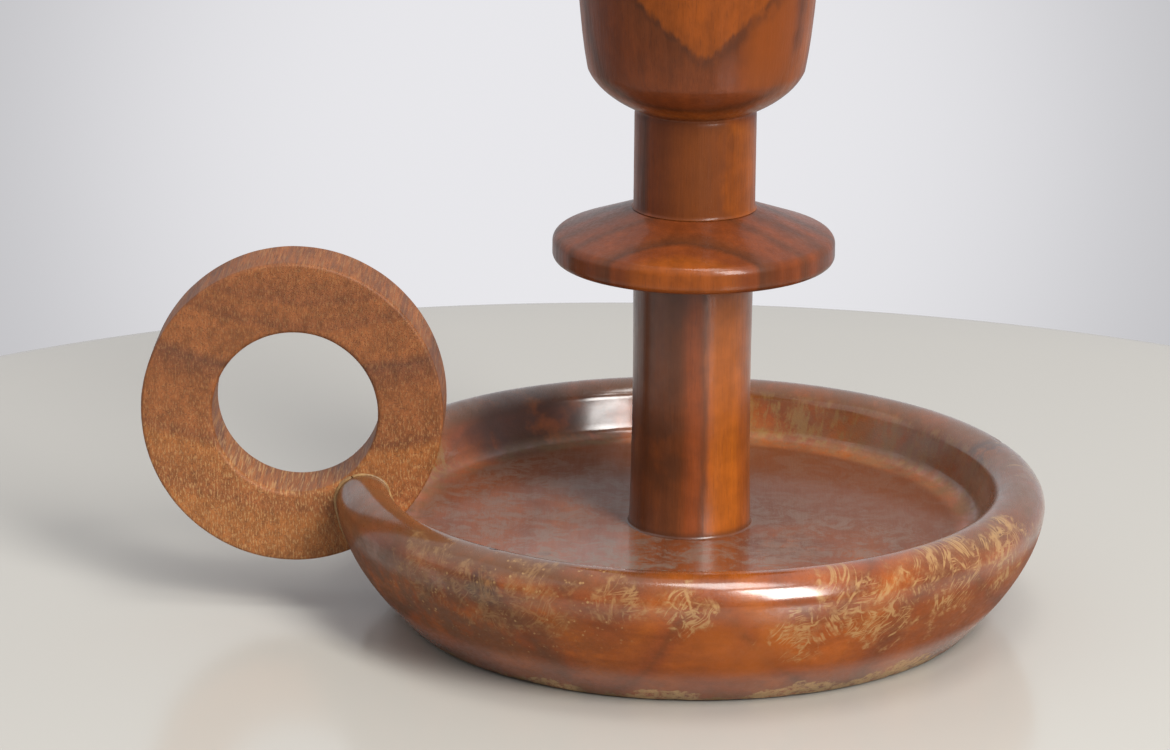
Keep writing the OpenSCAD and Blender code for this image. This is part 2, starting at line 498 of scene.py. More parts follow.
def marks(g, places, soft=0.6):
    """1 at the listed places, fading to 0 at their edges."""
    return g.most(0.0, *[g.spot(centre, reach, soft) for centre, reach in places])


def saucer_zones(g):
    """A point's coordinates and distance from the axis, and masks for outside, inside and floor."""
    x, y, z = g.split(g.mm)[:3]
    radius = g.reach(x, y)
    zone = SimpleNamespace(x=x, y=y, z=z, radius=radius)
    zone.outside = g.ramp(radius, 57, 60)
    zone.inside = g.ramp(radius, 57, 55)
    zone.floor = g.times(g.ramp(radius, 51, 48), g.ramp(z, 17.5, 16.8))
    return zone


def saucer_growth(g, zone):
    """Grain along Y. The rings rise and fall across the board, which gives arches on the front wall."""
    bent = g.plus(zone.x, -4.0, g.sway(g.mm, 0.018, 9.0, 1))
    wave = g.math("COSINE", g.times(bent, 2 * math.pi / ARCH_WIDTH))
    arch = g.plus(g.times(wave, -0.5 * ARCH_HEIGHT), 0.5 * ARCH_HEIGHT)
    place = g.plus(zone.z, arch, g.sway(g.mm, 0.06, 3.5, 3))
    growth = [(-4, AMBER), (2, RED), (4.2, BROWN), (7, RED), (11, AMBER), (17, AMBER), (20, RED)]
    growth += [(22, BROWN), (24, RED), (27, AMBER), (31, ORANGE), (35, AMBER), (38, RED)]
    growth += [(40, BROWN), (43, RED), (47, AMBER), (54, RED)]
    wood = grained(g, place, growth, GRAIN_Y, 1.2)
    wood = g.mix(g.patches(0.07, 0.3, 0.7, 0.15, 0.50, 3, 0.6), wood, EVEN)
    layered = g.vector("MULTIPLY", g.mm, (0.35, 0.35, 1.0))
    cloud = g.ramp(g.noise(layered, 0.34, 6, 0.72, 0.4), 0.32, 0.68, 0.84, 1.14)
    return g.mix(1.0, wood, cloud, "MULTIPLY")


def murk(g, zone):
    """Where the outside is dark and dull: low on the left."""
    low_left = g.times(g.ramp(zone.x, 2, -46), g.ramp(zone.z, 31, 15))
    return g.times(low_left, zone.outside, g.patches(0.16, 0.30, 0.56, detail=5, rough=0.7))


def tinted(g, zone, wood):
    """Orange in front, and painted shade: brown on the right, and a crest darkened everywhere but in front.
    """
    front = g.times(g.spot((9, -60, 11), 15, 0.8), zone.outside)
    wood = g.mix(g.times(front, g.patches(0.14, 0.3, 0.6, 0.4, 0.9, 3, 0.5), 0.75), wood, ORANGE)
    # Painted shade: brown over the outside's right side
    right = g.times(g.ramp(zone.x, 20, 46), zone.outside)
    wood = g.mix(g.times(right, g.patches(0.12, 0.3, 0.65, 0.4, 1.0, 4, 0.5), 0.5), wood, BROWN)
    # Painted shade: the crest darkened everywhere but in front
    shade_around = g.most(g.ramp(zone.x, 12, -20), g.ramp(zone.y, 5, 35), g.ramp(zone.x, 32, 56))
    crest = g.times(shade_around, g.ramp(zone.z, 22, 25))
    return g.mix(g.times(crest, g.patches(0.1, 0.3, 0.6, 0.45, 0.9, 4, 0.7)), wood, PAINTED_CREST_SHADE)


# Dark stains and dots, and painted shade on the SHADED patches
def stained_and_shaded(g, wood):
    stain = g.times(marks(g, STAINED), g.patches(0.3, 0.36, 0.56))
    wood = g.mix(g.times(stain, 0.7), wood, STAIN_AND_SHADE)
    # Painted shade over the SHADED patches
    shaded = g.times(marks(g, SHADED, 0.5), g.patches(0.16, 0.30, 0.50, detail=3, rough=0.6))
    wood = g.mix(g.times(shaded, 0.66), wood, STAIN_AND_SHADE)
    return g.mix(g.times(marks(g, DOTTED, 0.3), 0.85), wood, STAIN_AND_SHADE)


def strands(g, flat, angle, spacing):
    """Hair-fine strokes at angle degrees to the rim, about spacing apart, that split and meet."""
    x, y, _ = g.split(flat)[:3]
    c = math.cos(math.radians(angle))
    s = math.sin(math.radians(angle))
    along = g.plus(g.times(x, 0.12 * c), g.times(y, 0.12 * s))
    across = g.plus(g.times(x, -s / spacing), g.times(y, c / spacing), g.sway(flat, 0.14, 1.6, 2))
    level = g.noise(g.join(along, across, 0.0), 1.0, 1, 0.5, 0.25)
    line = g.ramp(g.math("ABSOLUTE", g.minus(level, 0.5)), 0.055, 0.012)
    return g.times(line, g.ramp(g.noise(flat, 0.45, 3, 0.6), 0.36, 0.56))


def star_crack(g, turn, height):
    """A knock at the front of the rim, with cracks that run out from it."""
    offset = g.times(g.plus(turn, -math.radians(STAR_TURN)), SAUCER_R)
    across = g.plus(offset, g.sway(g.mm, 0.35, 2.2, 3))
    down = g.plus(height, -STAR_Z, g.sway(g.mm, 0.3, 2.2, 3))
    ray = g.math("ABSOLUTE", g.math("SINE", g.times(g.math("ARCTAN2", down, across), 2.5)))
    away = g.reach(g.times(across, 1.25), g.times(down, 0.8))
    line = g.ramp(ray, g.ramp(away, 0.5, 5.0, 0.8, 0.16, "LINEAR"), 0.02)
    return g.times(line, g.ramp(away, 6.5, 2.0), g.patches(1.1, 0.40, 0.54, detail=3, rough=0.7), 1.1)


def lacquer_craze(g, zone):
    """Fine cracks in the old lacquer: strokes that slant different ways, and a few branches between them."""
    turn = g.math("ARCTAN2", zone.y, zone.x)
    flat = g.join(g.times(turn, SAUCER_R), zone.z, 0.0)
    choice = g.noise(flat, 0.09, 2)
    slanted = g.times(strands(g, flat, 50, 1.15), g.ramp(choice, 0.57, 0.52))
    level = g.times(strands(g, flat, 6, 0.95), g.ramp(choice, 0.46, 0.50), g.ramp(choice, 0.60, 0.55))
    steep = g.times(strands(g, flat, 112, 1.3), g.ramp(choice, 0.54, 0.58))
    bent = g.vector("ADD", flat, g.join(g.sway(flat, 0.3, 3.0, 3), g.sway(flat, 0.34, 2.0, 3), 0.0))
    branch = g.times(g.ramp(g.web(bent, 0.11), 0.05, 0.01), g.ramp(g.noise(flat, 0.25, 2), 0.42, 0.58))
    return g.most(slanted, level, steep, branch, star_crack(g, turn, zone.z))


def crazed(g, zone, wood):
    """Pale haze, cracks and specks in the lacquer outside, and the share that is cracked or specked."""
    near = g.plus(g.noise(g.mm, 0.2, 4, 0.65), g.times(marks(g, CRAZED, 0.95), 0.36))
    cover = g.times(g.ramp(near, 0.62, 0.78), zone.outside)
    haze = g.times(g.patches(0.42, 0.42, 0.66, detail=5, rough=0.75), cover)
    cracks = g.times(lacquer_craze(g, zone), cover, g.ramp(zone.x, -20, 2, 0.42, 1.0))
    specks = g.times(g.ramp(g.cells(g.mm, 1.0), 0.34, 0.18), marks(g, SPECKLED), zone.outside)
    specks = g.times(specks, g.patches(0.6, 0.50, 0.62, detail=3, rough=0.6))
    craze = g.most(cracks, specks)
    wood = g.mix(g.times(haze, 0.22), wood, CRAZE)
    return g.mix(g.times(craze, 0.74), wood, CRAZE), craze


def scuffed_foot(g, zone, wood):
    """Bare wood along the ragged foot, and the share that is bare."""
    scuffed = marks(g, SCUFFED, 0.9)
    edge = g.plus(g.patches(0.2, 0.36, 0.66, -0.2, 1.8, 5, 0.7), g.times(scuffed, 3.4))
    foot = g.times(g.ramp(g.minus(zone.z, edge), 0.5, -0.4), g.ramp(zone.radius, 50.5, 51.5))
    worn = g.times(foot, g.patches(0.8, 0.40, 0.54, detail=5, rough=0.75))
    bare = g.mix(g.ramp(scuffed, 0.05, 0.4), BARE_DULL, BARE)
    bare = g.mix(g.patches(1.6, 0.4, 0.65, 0, 0.5, 3, 0.7), bare, BARE_DULL)
    return g.mix(g.times(worn, 0.9), wood, bare), worn


def dusty_corner(g, zone, wood):
    """Dust where the floor meets the wall, and the share that it covers."""
    corner = g.times(g.ramp(zone.radius, 44, 50.5), g.ramp(zone.radius, 56, 52), g.ramp(zone.z, 22.5, 17))
    dust = g.times(corner, g.patches(0.13, 0.36, 0.62, rough=0.7))
    return g.mix(g.times(dust, 0.55), wood, DUST), dust


def soiled_inside(g, zone, wood):
    """Rubbed streaks down the inner wall, and its right side darker and greyer, browner towards the back."""
    streaky = g.vector("MULTIPLY", g.mm, (1.0, 1.0, 0.25))
    rubbed = g.times(marks(g, RUBBED), zone.inside, g.ramp(zone.z, 16.4, 17.5))
    rubbed = g.times(rubbed, g.ramp(g.noise(streaky, 0.5, 4, 0.7), 0.44, 0.62))
    wood = g.mix(g.times(rubbed, 0.72), wood, RUB)
    wall = g.times(g.ramp(zone.z, 16.6, 18), g.ramp(zone.z, 25.5, 22))
    right_wall = g.times(g.ramp(zone.x, 8, 40), zone.inside, wall)
    wood = g.mix(g.times(right_wall, g.ramp(zone.y, -12, 18), 0.5), wood, BROWN)
    return g.mix(g.times(right_wall, g.patches(0.3, 0.34, 0.58, 0.2, 0.6, 4, 0.7)), wood, GREY_BROWN)


def filmed_floor(g, zone, wood):
    """A floor that is darker at the back, under a mottled dry film, and the share that the film covers."""
    back = g.ramp(g.plus(zone.y, g.times(zone.x, 0.5)), -8, 20, 0.56, 0.98)
    wood = g.mix(g.times(zone.floor, back), wood, BROWN)
    mottle = g.ramp(g.noise(g.mm, 0.17, 8, 0.85, 0.7), 0.45, 0.57)
    film = g.times(zone.floor, mottle, g.ramp(g.plus(zone.y, g.times(zone.x, 0.6)), 34, 12, 0.35, 1.0))
    thick = g.ramp(g.spot((-8, -34, 16), 40, 1.0), 0, 0.6, 0.6, 0.95)
    return g.mix(g.times(film, thick), wood, FILM), film


def saucer_teak():
    g = Graph("saucer_teak_old")
    zone = saucer_zones(g)
    shade = murk(g, zone)
    wood = g.mix(g.times(shade, 0.72), saucer_growth(g, zone), MURK)
    wood = stained_and_shaded(g, tinted(g, zone, wood))
    wood, craze = crazed(g, zone, wood)
    wood, worn = scuffed_foot(g, zone, wood)
    wood, dust = dusty_corner(g, zone, wood)
    wood = soiled_inside(g, zone, wood)
    wood, film = filmed_floor(g, zone, wood)

    dull = g.most(g.times(craze, 0.25), worn, g.times(dust, 0.75), g.times(film, 0.3), g.times(shade, 0.7))
    wiped = g.spot((-12, -32, 16), 36, 0.7)
    dull_floor = g.times(zone.floor, g.minus(1.0, wiped), 0.6)
    dull_wall = g.times(zone.outside, g.ramp(zone.z, 21.5, 17), 0.88)
    rim = g.times(g.ramp(zone.z, 19, 24), g.ramp(zone.radius, 54, 57))
    dull = g.most(dull, dull_floor, dull_wall)
    return varnished(g, wood, GRAIN_Y, 1.0, 0.155, 1.74, dull, rim)


def saucer_wear(point, normal):
    """Slight unevenness, nicks along the foot's edge, and small dents."""
    depth = 0.07 * wobble(point, 24, 1) + 0.018 * wobble(point, 5, 2) + 0.006 * wobble(point, 1.8, 3)
    nick_top = 5
    if point.z < nick_top and point.xy.length > 51:
        depth -= 0.35 * max(0.0, wobble(point, 2.6, 12) - 0.15) * (nick_top - point.z) / nick_top
    for centre, reach, deep in DENTS:
        near = (point - Vector(centre)).length / reach
        if near < 1:
            depth -= deep * (1 - near * near) ** 2
    return depth


def make_saucer():
    saucer = lathe("saucer_turned", saucer_outline(), 560)
    push(saucer, saucer_wear)
    cut_ring_seat(saucer)
    finish_piece(saucer, saucer_teak(), ["saucer"])


make_saucer()


# Dried glue along the seam between the saucer and the ring


def seam_at(y):
    """The saucer's outline in the plane y, where it runs inside the ring."""
    points = []
    for radius, height in saucer_outline():
        if radius > abs(y) and height > FOOT_Z:
            x = -math.sqrt(radius * radius - y * y)
            if math.hypot(x - RING_X, height - RING_Z) < RING_R and radius > FLOOR_R:
                points.append((x, y, height))
    return points


def seam_loop():
    """Round both faces of the ring, and across it under and over the rim."""
    face = RING_HALF + 0.02
    across = [face * (i / 8 - 1) for i in range(1, 16)]
    near_side = seam_at(-face) + [seam_at(y)[-1] for y in across]
    far_side = seam_at(face)[::-1] + [seam_at(y)[0] for y in across[::-1]]
    return near_side + far_side


def dried_glue():
    g = Graph("dried_glue")
    tone = g.colours(g.noise(g.mm, 0.8, 4, 0.7), [(0.32, (0.16, 0.075, 0.028)), (0.66, (0.42, 0.25, 0.10))])
    return g.shade(Base_Color=tone, Roughness=0.45, Normal=g.bump(g.noise(g.mm, 2.5, 3), 0.06))


def make_glue_line():
    """A thin uneven bead, with eight sides, along the seam."""
    sides = 8
    radius, unevenness = 0.38, 0.16
    loop = seam_loop()
    count = len(loop)
    verts = []
    for i, place in enumerate(loop):
        here = Vector(place)
        ahead = (Vector(loop[(i + 1) % count]) - Vector(loop[i - 1])).normalized()
        out = ahead.cross(Vector((1, 0, 0.4))).normalized()
        up = ahead.cross(out)
        size = radius + unevenness * wobble(here, 2.5, 13)
        for k in range(sides):
            a = 2 * math.pi * k / sides
            verts.append(here + (out * math.cos(a) + up * math.sin(a)) * size)
    faces = []
    for i in range(count):
        for k in range(sides):
            a = i * sides
            b = (i + 1) % count * sides
            faces.append([a + k, a + (k + 1) % sides, b + (k + 1) % sides, b + k])
    bead = add_mesh("glue_line", verts, faces, 80)
    finish_piece(bead, dried_glue(), [])


make_glue_line()


# Ring handle

OCHRE = (0.262, 0.086, 0.025)
OCHRE_DARK = (0.208, 0.067, 0.022)
OCHRE_LINE = (0.15, 0.052, 0.022)
OCHRE_LIGHT = (0.33, 0.115, 0.029)
RAY = (0.475, 0.26, 0.102)

# The growth rings' centre, above the handle
RING_PITH_X = RING_X + 3
RING_PITH_Z = 115


def ring_teak():
    """Bare end grain: wide shallow rings about a pith above, and pale rays that point up to it."""
    g = Graph("ring_teak_bare")
    x, _, z = g.split(g.mm)[:3]
    place = g.plus(g.reach(g.minus(x, RING_PITH_X), g.minus(z, RING_PITH_Z)), g.sway(g.mm, 0.06, 2.0))
    growth = [(46, OCHRE_DARK), (52, OCHRE), (56.6, OCHRE_DARK), (57.6, OCHRE), (61, OCHRE_DARK)]
    growth += [(62, OCHRE), (68, OCHRE), (70, OCHRE_LINE), (73, OCHRE_DARK), (75.5, OCHRE), (83, OCHRE)]
    growth += [(84.6, OCHRE_DARK), (86.5, OCHRE_LIGHT), (95, OCHRE), (97, OCHRE_LIGHT), (110, OCHRE_LIGHT)]
    wood = g.colours(place, growth)
    grain = g.vector("MULTIPLY", g.mm, (1.0, 0.07, 0.6))
    tone = g.ramp(g.noise(grain, 1.1, 4, 0.7), 0.3, 0.7, 0.74, 1.22)
    wood = g.mix(1.0, wood, g.times(tone, g.patches(0.16, 0.3, 0.7, 0.88, 1.1, 2, 0.5)), "MULTIPLY")
    rays = g.noise(g.vector("MULTIPLY", g.mm, (3.4, 0.15, 0.95)), 1.0, 2, 0.6)
    low = g.ramp(z, RING_Z + 8, RING_Z - 16, 0.22, 0.75)
    wood = g.mix(g.times(g.ramp(rays, 0.50, 0.64), low), wood, RAY)
    fine = g.vector("MULTIPLY", g.mm, (1.0, 0.05, 1.0))
    pores = g.ramp(g.noise(fine, 3.4, 2, 0.6), 0.56, 0.66, 0, 0.55)
    wood = g.mix(pores, wood, OCHRE_LINE)
    normal = g.bump(g.plus(g.times(pores, -1.0), g.times(rays, 0.5)), 0.08)
    rough = g.ramp(tone, 0.7, 1.2, 0.5, 0.62)
    return g.shade(Base_Color=wood, Roughness=rough, Normal=normal, Specular_IOR_Level=0.42)


def make_ring():
    """The ring is a little taller than wide, and its hole sits a little towards the column."""
    bore, edge, bore_edge = 15.1, 0.6, 0.9
    bore_shift, narrower, taller = 0.5, 0.012, 0.009
    half = RING_HALF
    section = bend(RING_R - edge, half - edge, edge, edge, 0, 90, 6)
    section += bend(bore + bore_edge, half - bore_edge, bore_edge, bore_edge, 90, 180, 6)
    section += bend(bore + bore_edge, bore_edge - half, bore_edge, bore_edge, 180, 270, 6)
    section += bend(RING_R - edge, edge - half, edge, edge, 270, 360, 6)
    section.append(section[0])
    ring = lathe("ring_turned", dense(section, 0.8), 360)
    for v in ring.data.vertices:
        away = math.hypot(v.co.x, v.co.y) / MM
        inner = (RING_R - away) / (RING_R - bore)
        v.co.x = v.co.x * (1 - narrower * (1 - inner)) + bore_shift * MM * inner
        v.co.y *= 1 + taller * (1 - inner)
    push(ring, lambda point, normal: 0.05 * wobble(point, 9, 4) + 0.02 * wobble(point, 2.2, 5))
    upright_turn = Matrix.Rotation(math.pi / 2, 4, "X")
    ring.data.transform(Matrix.Translation((RING_X * MM, 0, RING_Z * MM)) @ upright_turn)
    finish_piece(ring, ring_teak(), ["ring_handle"])


make_ring()


# Column, disc and cup

column_low, column_high = size_mm("column")
disc_low, disc_high = size_mm("drip_disc")
cup_low, cup_high = size_mm("cup")
liner_low, liner_high = size_mm("candle_liner")
NECK_R = 11.0
NECK_TOP = 94.4
FLARE = 7.2
TENON_R = 6.5

# Painted shade: tints that darken the cup's and the disc's wood, for dimmer light higher up
CUP_PAINTED_SHADE = (0.76, 0.75, 0.80)
DISC_PAINTED_SHADE = (0.78, 0.78, 0.85)

# Lowest point of the V of orange wood on the cup's front, and how steep its arms are
VEE_X = 1.2
VEE_Z = 106.4
VEE_SLOPE = 0.95


def upright(g, pith_x, pith_y):
    """Distance from an upright pith."""
    x, y, _ = g.split(g.mm)[:3]
    return g.reach(g.minus(x, pith_x), g.minus(y, pith_y))


def column_teak():
    """Dark on the left, orange on the right, with a dark line at the foot."""
    g = Graph("column_teak_old")
    growth = [(18, BROWN), (22, BROWN), (25, DUSK), (27, BROWN), (29.5, DUSK), (31.5, BROWN)]
    growth += [(33, RED), (34.6, RED), (35.4, BROWN), (36.2, AMBER), (37, ORANGE), (39.8, ORANGE)]
    growth += [(40.6, AMBER), (42, AMBER)]
    wood = grained(g, upright(g, -30, 4), growth, GRAIN_Z, 0.55)
    blotch = g.times(g.spot((-8, -8, 32), 11), g.patches(0.2, 0.35, 0.6, 0, 0.7, 3, 0.5))
    wood = g.mix(blotch, wood, VEIN)
    foot = g.ramp(g.split(g.mm)[2], FLOOR_Z + 1.6, FLOOR_Z + 0.2)
    wood = g.mix(g.times(foot, 0.7), wood, VEIN)
    return varnished(g, wood, GRAIN_Z, coat=1.0, gloss=0.25, index=1.6)


def disc_teak():
    g = Graph("disc_teak_old")
    growth = [(18, AMBER), (22.5, AMBER), (24.5, RED), (26.3, RED), (27.3, DUSK), (28.4, BROWN)]
    growth += [(31, RED), (35, RED), (37, BROWN), (39, RED), (44, BROWN), (47, RED)]
    growth += [(51, DUSK), (54, RED), (60, RED), (66, BROWN)]
    wood = grained(g, upright(g, -3, -45), growth, GRAIN_Z, 0.5)
    # Painted shade over the whole disc
    wood = g.mix(1.0, wood, DISC_PAINTED_SHADE, "MULTIPLY")
    return varnished(g, wood, GRAIN_Z, coat=0.44, gloss=0.13)


def cup_growth(g, z):
    """Rings about a pith that lies behind the cup."""
    growth = [(0, BROWN), (6, RED), (9, BROWN), (11, RED), (13.5, AMBER), (16, AMBER), (18, RED)]
    growth += [(20, BROWN), (21.2, RED), (23.4, RED), (25.2, AMBER), (26.8, ORANGE), (28.4, AMBER)]
    growth += [(29.6, BROWN), (30.6, RED), (32.5, RED), (34.5, BROWN), (36, RED)]
    return grained(g, upright(g, g.ramp(z, 90, 99, -10, 1), 13.5), growth, GRAIN_Z, 0.5)


def vee_grain(g, wood, x, z, front):
    """The orange wood of the outermost rings, which shows as a V on the front, with a dark line round it."""
    arm = g.reach(g.minus(x, VEE_X), 1.5)
    rag = g.sway(g.vector("MULTIPLY", g.mm, (1, 1, 0.25)), 0.9, 1.5, 3)
    above = g.plus(z, -VEE_Z, g.times(arm, -VEE_SLOPE), rag)
    heart = grained(g, g.times(z, 0.2), [(18, HEART), (23, AMBER), (28, HEART)], GRAIN_Z, 0.5)
    wood = g.mix(g.times(front, g.ramp(above, -0.8, 0.8)), wood, heart)
    thick = g.ramp(x, -6, 10, 1.0, 2.6)
    under = g.ramp(g.math("DIVIDE", above, thick), -1.7, -0.2)
    line = g.times(under, g.ramp(above, 1.3, -0.3), front)
    return g.mix(g.times(line, g.patches(0.5, 0.3, 0.65, 0.2, 0.62, 4, 0.5)), wood, VEIN)


def cup_teak():
    """Grain with a V on the front, lighter at the wall's right and browner in the middle of the neck."""
    g = Graph("cup_teak_old")
    x, y, z = g.split(g.mm)[:3]
    front = g.ramp(y, 2, -4)
    edge = g.ramp(g.plus(x, g.sway(g.mm, 0.12, 3.0)), 18.5, 16.5)
    right = g.times(g.ramp(x, 6, 11), edge, g.ramp(z, 98, 104), front)
    wood = g.mix(g.times(right, 0.7), cup_growth(g, z), AMBER)
    wood = vee_grain(g, wood, x, z, front)
    edge = g.ramp(g.plus(x, g.sway(g.mm, 0.2, 4.0)), 7.0, 4.0)
    middle = g.times(edge, g.ramp(z, 96, 94), g.ramp(x, -8.5, -5))
    wood = g.mix(g.times(middle, 0.68), wood, BROWN)
    # Painted shade over the whole cup
    wood = g.mix(1.0, wood, CUP_PAINTED_SHADE, "MULTIPLY")
    return varnished(g, wood, GRAIN_Z, coat=0.28, gloss=0.2)


def peel(point, normal):
    """Lacquer that isn't quite flat, over faint turning marks."""
    turning = noise.noise(Vector((0, 0, point.z / 0.9)))
    return 0.014 * wobble(point, 2.4, 6) + 0.006 * wobble(point, 0.9, 7) + 0.006 * turning


def make_column():
    foot_r, waist_r, top_r, waist_z = column_high[0], 10.75, 10.9, 48.0
    foot_tenon_r, foot_tenon_l, top_tenon_l = 8, 4, 2
    top = disc_low[2]
    outline = [(0, FLOOR_Z - foot_tenon_l), (foot_tenon_r, FLOOR_Z - foot_tenon_l), (foot_tenon_r, FLOOR_Z)]
    edge = (foot_r - 0.1, FLOOR_Z + 0.7)
    outline += bow((foot_r + 0.3, FLOOR_Z), (foot_r - 0.1, FLOOR_Z + 0.1), edge, 6)
    outline += bow(edge, (waist_r, (FLOOR_Z + waist_z) / 2), (waist_r, waist_z), 20)
    outline += [(top_r, top), (TENON_R, top), (TENON_R, top + top_tenon_l), (0, top + top_tenon_l)]
    column = lathe("column_turned", dense(outline, 0.5), 200)
    push(column, peel)
    finish_piece(column, column_teak(), ["column"])


def make_disc():
    """A rounded edge, and a top like a low cone that sweeps up a little where it meets the neck."""
    radius, low, neck_z = disc_high[0], disc_low[2], disc_high[2]
    edge_top, low_round, top_round, slope = low + 5.1, 1.3, 1.8, 18.5
    outline = [(TENON_R, low)]
    outline += bend(radius - low_round, low + low_round, low_round, low_round, 270, 360, 8)
    outline += bend(radius - top_round, edge_top - top_round, top_round, top_round, 0, 90 - slope, 10)
    outline += bow(outline[-1], (NECK_R + 5, neck_z - 1.9), (NECK_R + 0.6, neck_z - 0.3), 20)
    outline += [(NECK_R, neck_z), (TENON_R, neck_z), (TENON_R, low)]
    disc = lathe("disc_turned", dense(outline, 0.55), 280)
    push(disc, peel)
    finish_piece(disc, disc_teak(), ["drip_disc"])


def make_cup():
    """A bead at the neck's foot, a groove at its top, a flare, a wall that widens slowly, and a bore."""
    bottom, top, radius = cup_low[2], cup_high[2], cup_high[0]
    shoulder_r, lip_round, bore = 19.5, 2.2, 12.3
    shoulder = NECK_TOP + FLARE
    bore_bottom = liner_low[2] - 0.3
    bead = NECK_R + 0.35
    groove_low = NECK_TOP - 1.0
    outline = [(0, bottom), (bead, bottom)]
    outline += bow((bead, bottom), (NECK_R, bottom + 0.1), (NECK_R, bottom + 0.8), 5)
    outline += [(NECK_R, groove_low)]
    outline += bow((NECK_R, groove_low), (NECK_R - 0.25, NECK_TOP - 0.3), (NECK_R, NECK_TOP), 6)
    outline += bow((NECK_R, NECK_TOP), (NECK_R + 6.6, NECK_TOP + 3), (shoulder_r, shoulder), 18)
    outline += bow((shoulder_r, shoulder), (radius - 1, shoulder + FLARE), (radius, top - FLARE), 14)
    outline += bend(radius - lip_round, top - lip_round, lip_round, lip_round, 0, 90, 8)
    outline += [(bore, top), (bore, bore_bottom), (0, bore_bottom)]
    cup = lathe("cup_turned", dense(outline, 0.6), 240)
    push(cup, peel)
    finish_piece(cup, cup_teak(), ["cup"])


make_column()
make_disc()
make_cup()


# Liner, felt, and the hidden screw and dowels

BRASS = (0.78, 0.55, 0.22)
TARNISH = (0.40, 0.25, 0.10)
BAIZE_DARK = (0.012, 0.045, 0.022)
BAIZE = (0.035, 0.115, 0.055)
BAIZE_FADED = (0.055, 0.10, 0.05)
ZINC = (0.58, 0.60, 0.62)
ZINC_YELLOWED = (0.66, 0.60, 0.44)
BEECH_DARK = (0.42, 0.27, 0.14)
BEECH = (0.62, 0.44, 0.26)
BEECH_FLECK = (0.30, 0.17, 0.08)


def brass():
    g = Graph("liner_brass_drawn")
    drawn = g.noise(g.vector("MULTIPLY", g.mm, (0.25, 0.25, 5.0)), 1.0, 3, 0.6)
    tarnish = g.patches(0.28, 0.42, 0.68, detail=5)
    metal = g.mix(tarnish, BRASS, TARNISH)
    metal = g.mix(1.0, metal, g.ramp(drawn, 0.3, 0.7, 0.85, 1.1), "MULTIPLY")
    rough = g.plus(g.ramp(drawn, 0.3, 0.7, 0.20, 0.30), g.times(tarnish, 0.2))
    return g.shade(Base_Color=metal, Metallic=1.0, Roughness=rough, Normal=g.bump(drawn, 0.02))


def make_liner():
    """A drawn brass cup with a flat flange whose edge is rolled."""
    bottom, top, flange = liner_low[2], liner_high[2], liner_high[0]
    outer, bore, thick, flange_t = 12.0, 11.2, 0.8, 1.1
    corner, inner_corner, sunk = 1.2, 0.8, 0.25
    half = flange_t / 2
    under = top - flange_t
    face = top - sunk
    outline = [(0, bottom), (outer - corner, bottom)]
    outline += bend(outer - corner, bottom + corner, corner, corner, 270, 360, 8)
    outline += bow((outer, under - 0.5), (outer, under), (outer + 0.5, under), 5)
    outline += bend(flange - half, top - half, half, half, 270, 450, 12)
    outline += [(flange - 2.2, face), (bore + 1.4, face)]
    outline += bow((bore + 1.4, face), (bore, face), (bore, top - 1.6), 8)
    floor = bottom + thick
    outline += bend(bore - inner_corner, floor + inner_corner, inner_corner, inner_corner, 360, 270, 6)
    outline.append((0, floor))
    liner = lathe("liner_spun", dense(outline, 0.7), 192)
    push(liner, lambda point, normal: 0.02 * wobble(point, 7, 8) + 0.006 * wobble(point, 2, 9))
    finish_piece(liner, brass(), ["candle_liner"], "liner")


def baize():
    g = Graph("felt_green")
    fibres = g.noise(g.mm, 2.2, 5, 0.75, 1.2)
    tone = g.colours(fibres, [(0.32, BAIZE_DARK), (0.68, BAIZE)])
    tone = g.mix(g.patches(0.12, 0.4, 0.7, 0, 0.35, 3, 0.5), tone, BAIZE_FADED)
    return g.shade(
        Base_Color=tone,
        Roughness=0.95,
        Normal=g.bump(fibres, 0.35),
        Sheen_Weight=0.5,
        Sheen_Roughness=0.5,
    )


def felt_wear(point, normal):
    """A slightly uneven face and a ragged edge."""
    ragged = 0.18 * wobble(point, 1.6, 11) if abs(normal.z) < 0.5 else 0
    return 0.05 * wobble(point, 3, 10) + ragged


def make_felt():
    radius, top = felt_high[0], felt_high[2]
    outline = [(0, 0.05)] + bend(radius - 0.7, 0.65, 0.6, 0.6, 270, 360, 4)
    outline += bend(radius - 0.7, top - 0.5, 0.6, 0.4, 0, 90, 4) + [(0, top - 0.1)]
    felt = lathe("felt_pad", dense(outline, 1.1), 300)
    push(felt, felt_wear)
    finish_piece(felt, baize(), ["base_felt"])


def zinc():
    g = Graph("screw_zinc")
    turned = g.noise(g.vector("MULTIPLY", g.mm, (1.0, 1.0, 6.0)), 1.0, 3)
    passivated = g.mix(g.noise(g.mm, 0.5, 4, 0.7), ZINC, ZINC_YELLOWED)
    rough = g.ramp(turned, 0.3, 0.7, 0.28, 0.45)
    return g.shade(Base_Color=passivated, Metallic=1.0, Roughness=rough, Normal=g.bump(turned, 0.03))


def dowel_beech():
    g = Graph("dowel_beech")
    grain = g.vector("MULTIPLY", g.mm, (3.0, 3.0, 0.3))
    tone = g.colours(g.noise(grain, 1.0, 4, 0.6), [(0.3, BEECH_DARK), (0.7, BEECH)])
    flecks = g.ramp(g.noise(g.vector("MULTIPLY", g.mm, (5.0, 5.0, 1.2)), 1.0, 2), 0.58, 0.68, 0, 0.6)
    tone = g.mix(flecks, tone, BEECH_FLECK)
    return g.shade(Base_Color=tone, Roughness=0.65, Normal=g.bump(g.noise(grain, 2.0, 3), 0.04))


def dress_node(node, material):
    """Gives a CAD piece, whose shape is right as it is, its material."""
    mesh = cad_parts[node].data
    mesh.materials.clear()
    mesh.materials.append(material)


make_liner()
make_felt()
dress_node("base_screw", zinc())
dress_node("ring_dowels", dowel_beech())


# Stage: a round pale table top in a pale room, soft light from the front right, a weak fill from the left

TABLE = (0.530, 0.515, 0.472)

